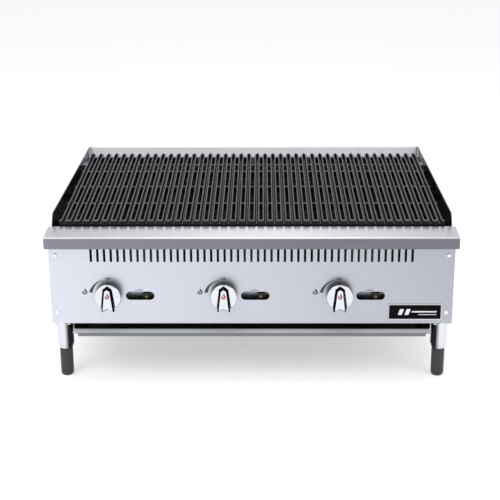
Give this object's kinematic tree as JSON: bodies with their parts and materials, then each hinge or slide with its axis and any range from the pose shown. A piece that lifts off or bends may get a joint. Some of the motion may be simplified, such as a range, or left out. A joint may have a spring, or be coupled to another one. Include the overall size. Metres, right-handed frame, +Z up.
{
  "type": "charbroiler grill",
  "caption": "Countertop gas charbroiler: steel body on legs, sloping cast-iron grates between low splash guards, knobs, pilot windows, drip tray.",
  "frame": {"origin": "middle of the footprint box at table level, under the feet", "axes": "+X to the right seen from the front, +Y from the knobs to the back, +Z up"},
  "size_m": [0.914, 0.742, 0.3973],
  "materials": {
    "stainless": "brushed, number 4 finish",
    "splash_steel": "polished, darkened by heat",
    "galvanized": "dull galvanized sheet",
    "tray_steel": "satin sheet",
    "radiant_steel": "heat resisting sheet",
    "cast_iron": "seasoned, dull",
    "burner_iron": "raw casting",
    "chrome": "polished plating",
    "stem_brass": "turned",
    "pipe_steel": "grey painted pipe",
    "valve_alloy": "die cast",
    "pilot_dark": "blackened",
    "shutter_steel": "plated sheet",
    "pilot_alloy": "drawn tube",
    "leg_steel": "polished tube",
    "foot_steel": "black coated",
    "screw_steel": "plated",
    "plate_black": "black enamel"
  },
  "bodies": {
    "chassis": {"front_panel": "stainless", "front_ledge": "stainless", "left_side_panel": "stainless", "right_side_panel": "stainless", "left_splash_guard": "splash_steel", "right_splash_guard": "splash_steel", "backsplash": "stainless", "back_panel": "stainless", "base_side_rails": "galvanized", "base_rail_front": "galvanized", "base_rail_back": "galvanized", "firewall": "galvanized", "grate_rail_front": "galvanized", "grate_rail_rear": "galvanized", "radiant_rails": "galvanized", "burner_rails": "galvanized", "burner_1": "burner_iron", "burner_2": "burner_iron", "burner_3": "burner_iron", "manifold_pipe": "pipe_steel", "inlet_elbow": "pipe_steel", "inlet_pipe": "pipe_steel", "gas_valves": "valve_alloy", "orifice_hoods": "stem_brass", "pilot_valves": "pilot_dark", "pilot_tubes": "pilot_alloy", "pilot_burners": "pilot_alloy", "tray_runners": "galvanized", "legs": "leg_steel", "leg_bolts": "leg_steel", "panel_screws": "screw_steel", "name_plate": "plate_black"},
    "knob_assembly_1": {"knob_1": "chrome", "valve_stem_1": "stem_brass"},
    "knob_assembly_2": {"knob_2": "chrome", "valve_stem_2": "stem_brass"},
    "knob_assembly_3": {"knob_3": "chrome", "valve_stem_3": "stem_brass"},
    "grate_1": {"grate_1": "cast_iron"},
    "grate_2": {"grate_2": "cast_iron"},
    "grate_3": {"grate_3": "cast_iron"},
    "grate_4": {"grate_4": "cast_iron"},
    "grate_5": {"grate_5": "cast_iron"},
    "grate_6": {"grate_6": "cast_iron"},
    "radiant_1": {"radiant_1": "radiant_steel"},
    "radiant_2": {"radiant_2": "radiant_steel"},
    "radiant_3": {"radiant_3": "radiant_steel"},
    "air_shutter_1": {"air_shutter_1": "shutter_steel"},
    "air_shutter_2": {"air_shutter_2": "shutter_steel"},
    "air_shutter_3": {"air_shutter_3": "shutter_steel"},
    "pilot_screw_1": {"pilot_screw_1": "stem_brass"},
    "pilot_screw_2": {"pilot_screw_2": "stem_brass"},
    "pilot_screw_3": {"pilot_screw_3": "stem_brass"},
    "drip_tray": {"drip_tray": "tray_steel"},
    "foot_front_left": {"foot_front_left": "foot_steel"},
    "foot_front_right": {"foot_front_right": "foot_steel"},
    "foot_rear_left": {"foot_rear_left": "foot_steel"},
    "foot_rear_right": {"foot_rear_right": "foot_steel"}
  },
  "joints": [
    {"name": "knob_turn_1", "type": "hinge", "parent": "chassis", "child": "knob_assembly_1", "pos_m": [-0.321, -0.338, 0.217], "axis": [0, -1, 0], "range_deg": [0, 90]},
    {"name": "knob_turn_2", "type": "hinge", "parent": "chassis", "child": "knob_assembly_2", "pos_m": [-0.062, -0.338, 0.217], "axis": [0, -1, 0], "range_deg": [0, 90]},
    {"name": "knob_turn_3", "type": "hinge", "parent": "chassis", "child": "knob_assembly_3", "pos_m": [0.197, -0.338, 0.217], "axis": [0, -1, 0], "range_deg": [0, 90]},
    {"name": "grate_lift_1", "type": "slide", "parent": "chassis", "child": "grate_1", "axis": [0, 0, 1], "range_m": [0, 0.15]},
    {"name": "grate_lift_2", "type": "slide", "parent": "chassis", "child": "grate_2", "axis": [0, 0, 1], "range_m": [0, 0.15]},
    {"name": "grate_lift_3", "type": "slide", "parent": "chassis", "child": "grate_3", "axis": [0, 0, 1], "range_m": [0, 0.15]},
    {"name": "grate_lift_4", "type": "slide", "parent": "chassis", "child": "grate_4", "axis": [0, 0, 1], "range_m": [0, 0.15]},
    {"name": "grate_lift_5", "type": "slide", "parent": "chassis", "child": "grate_5", "axis": [0, 0, 1], "range_m": [0, 0.15]},
    {"name": "grate_lift_6", "type": "slide", "parent": "chassis", "child": "grate_6", "axis": [0, 0, 1], "range_m": [0, 0.15]},
    {"name": "radiant_lift_1", "type": "slide", "parent": "chassis", "child": "radiant_1", "axis": [0, 0, 1], "range_m": [0, 0.015]},
    {"name": "radiant_lift_2", "type": "slide", "parent": "chassis", "child": "radiant_2", "axis": [0, 0, 1], "range_m": [0, 0.015]},
    {"name": "radiant_lift_3", "type": "slide", "parent": "chassis", "child": "radiant_3", "axis": [0, 0, 1], "range_m": [0, 0.015]},
    {"name": "air_shutter_turn_1", "type": "hinge", "parent": "chassis", "child": "air_shutter_1", "pos_m": [-0.321, -0.27, 0.237], "axis": [0, -1, 0], "range_deg": [-20, 40]},
    {"name": "air_shutter_turn_2", "type": "hinge", "parent": "chassis", "child": "air_shutter_2", "pos_m": [-0.062, -0.27, 0.237], "axis": [0, -1, 0], "range_deg": [-20, 40]},
    {"name": "air_shutter_turn_3", "type": "hinge", "parent": "chassis", "child": "air_shutter_3", "pos_m": [0.197, -0.27, 0.237], "axis": [0, -1, 0], "range_deg": [-20, 40]},
    {"name": "pilot_screw_turn_1", "type": "hinge", "parent": "chassis", "child": "pilot_screw_1", "pos_m": [-0.2377, -0.322, 0.204], "axis": [0, -1, 0], "range_deg": [0, 360]},
    {"name": "pilot_screw_turn_2", "type": "hinge", "parent": "chassis", "child": "pilot_screw_2", "pos_m": [0.0213, -0.322, 0.204], "axis": [0, -1, 0], "range_deg": [0, 360]},
    {"name": "pilot_screw_turn_3", "type": "hinge", "parent": "chassis", "child": "pilot_screw_3", "pos_m": [0.2803, -0.322, 0.204], "axis": [0, -1, 0], "range_deg": [0, 360]},
    {"name": "tray_slide", "type": "slide", "parent": "chassis", "child": "drip_tray", "axis": [0, -1, 0], "range_m": [0, 0.4]},
    {"name": "foot_front_left_adjust", "type": "slide", "parent": "chassis", "child": "foot_front_left", "axis": [0, 0, -1], "range_m": [0, 0.025]},
    {"name": "foot_front_right_adjust", "type": "slide", "parent": "chassis", "child": "foot_front_right", "axis": [0, 0, -1], "range_m": [0, 0.025]},
    {"name": "foot_rear_left_adjust", "type": "slide", "parent": "chassis", "child": "foot_rear_left", "axis": [0, 0, -1], "range_m": [0, 0.025]},
    {"name": "foot_rear_right_adjust", "type": "slide", "parent": "chassis", "child": "foot_rear_right", "axis": [0, 0, -1], "range_m": [0, 0.025]}
  ]
}
